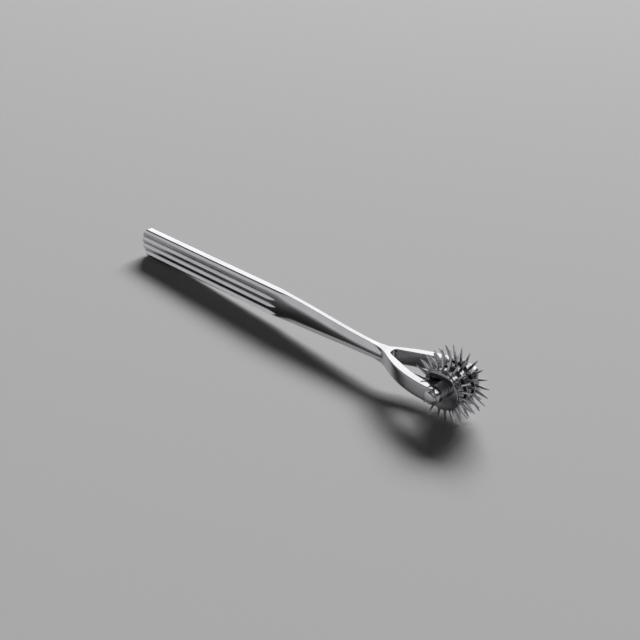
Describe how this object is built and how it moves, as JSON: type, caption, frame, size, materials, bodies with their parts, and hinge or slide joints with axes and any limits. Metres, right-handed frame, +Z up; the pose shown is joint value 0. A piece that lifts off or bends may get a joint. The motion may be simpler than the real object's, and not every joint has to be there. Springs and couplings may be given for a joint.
{
  "type": "neurological pinwheel",
  "caption": "Steel hand tool: a grooved handle with a forked end carries a free-running wheel set with rows of needle points.",
  "frame": {"origin": "middle of the bounding box in X and Y, on the level that the tool rests on", "axes": "+X from the handle to the wheel, the axle along Y, +Z up as the tool lies on a table"},
  "size_m": [0.1898, 0.027, 0.0276],
  "materials": {
    "handle_steel": "bright satin polish",
    "axle_steel": "turned and polished",
    "plate_steel": "mirror polish",
    "needle_steel": "bright, finely ground",
    "spacing_steel": "dark, as turned"
  },
  "bodies": {
    "tool": {"handle_fork": "handle_steel", "axle_pin": "axle_steel", "axle_end_cap": "axle_steel", "left_spacer": "axle_steel", "right_spacer": "axle_steel"},
    "wheel": {"hub_bush": "axle_steel", "left_side_plate": "plate_steel", "right_side_plate": "plate_steel", "right_pinned_ring": "needle_steel", "middle_pinned_ring": "needle_steel", "left_pinned_ring": "needle_steel", "right_spacing_ring": "spacing_steel", "left_spacing_ring": "spacing_steel"}
  },
  "joints": [
    {"name": "wheel_spin", "type": "hinge", "parent": "tool", "child": "wheel", "pos_m": [0.08112, 0, 0.0138], "axis": [0, 1, 0], "continuous": true}
  ]
}
